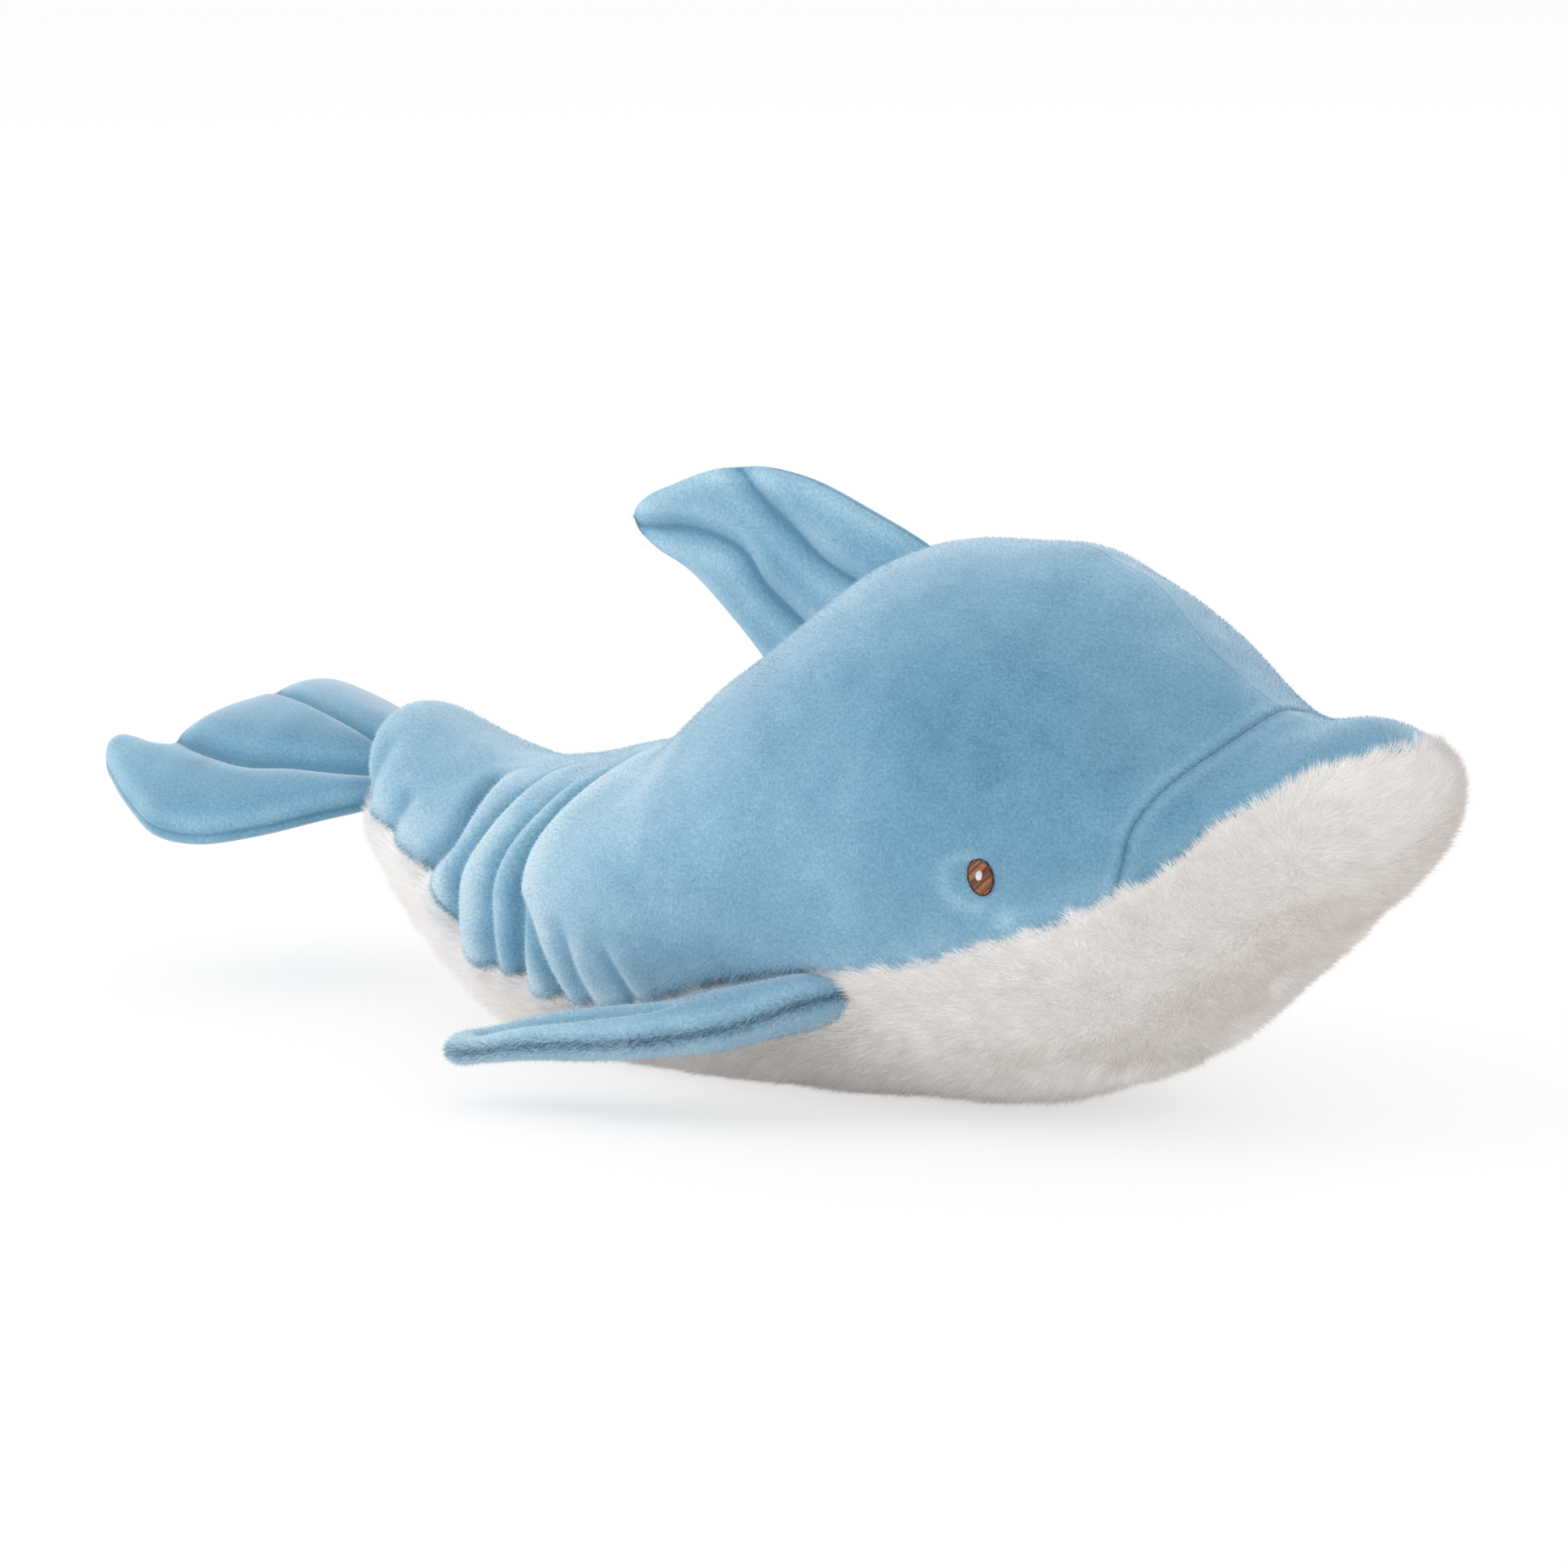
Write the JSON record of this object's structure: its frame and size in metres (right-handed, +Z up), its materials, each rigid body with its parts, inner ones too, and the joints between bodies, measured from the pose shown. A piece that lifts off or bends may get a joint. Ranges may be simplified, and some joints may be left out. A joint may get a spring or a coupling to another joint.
{
  "type": "plush dolphin",
  "caption": "Plush toy dolphin lying on its belly, blue velour back and white furry belly, with embroidered eyes, quilted fins and fluke.",
  "frame": {"origin": "on the resting plane, in the dolphin's middle plane, at the middle of the belly's flat", "axes": "+Z up from the resting plane, +X towards the beak, +Y to the dolphin's left"},
  "size_m": [0.4067, 0.197, 0.1471],
  "materials": {
    "blue_velour": "short matte pile",
    "white_fur": "long matte pile",
    "polyester_filling": "matte",
    "brown_thread": "satin stitch",
    "white_thread": "satin stitch"
  },
  "bodies": {
    "root": {"body_filling": "polyester_filling", "right_side_panel": "blue_velour", "left_side_panel": "blue_velour", "muzzle_panel": "blue_velour", "belly_fur_panel": "white_fur", "dorsal_fin_right_panel": "blue_velour", "dorsal_fin_left_panel": "blue_velour", "dorsal_fin_filling": "polyester_filling", "fluke_upper_panel": "blue_velour", "fluke_lower_panel": "blue_velour", "fluke_filling": "polyester_filling", "right_flipper_upper_panel": "blue_velour", "right_flipper_lower_panel": "blue_velour", "right_flipper_filling": "polyester_filling", "left_flipper_upper_panel": "blue_velour", "left_flipper_lower_panel": "blue_velour", "left_flipper_filling": "polyester_filling", "right_eye_embroidery": "brown_thread", "right_eye_highlight": "white_thread", "left_eye_embroidery": "brown_thread", "left_eye_highlight": "white_thread"}
  },
  "joints": []
}
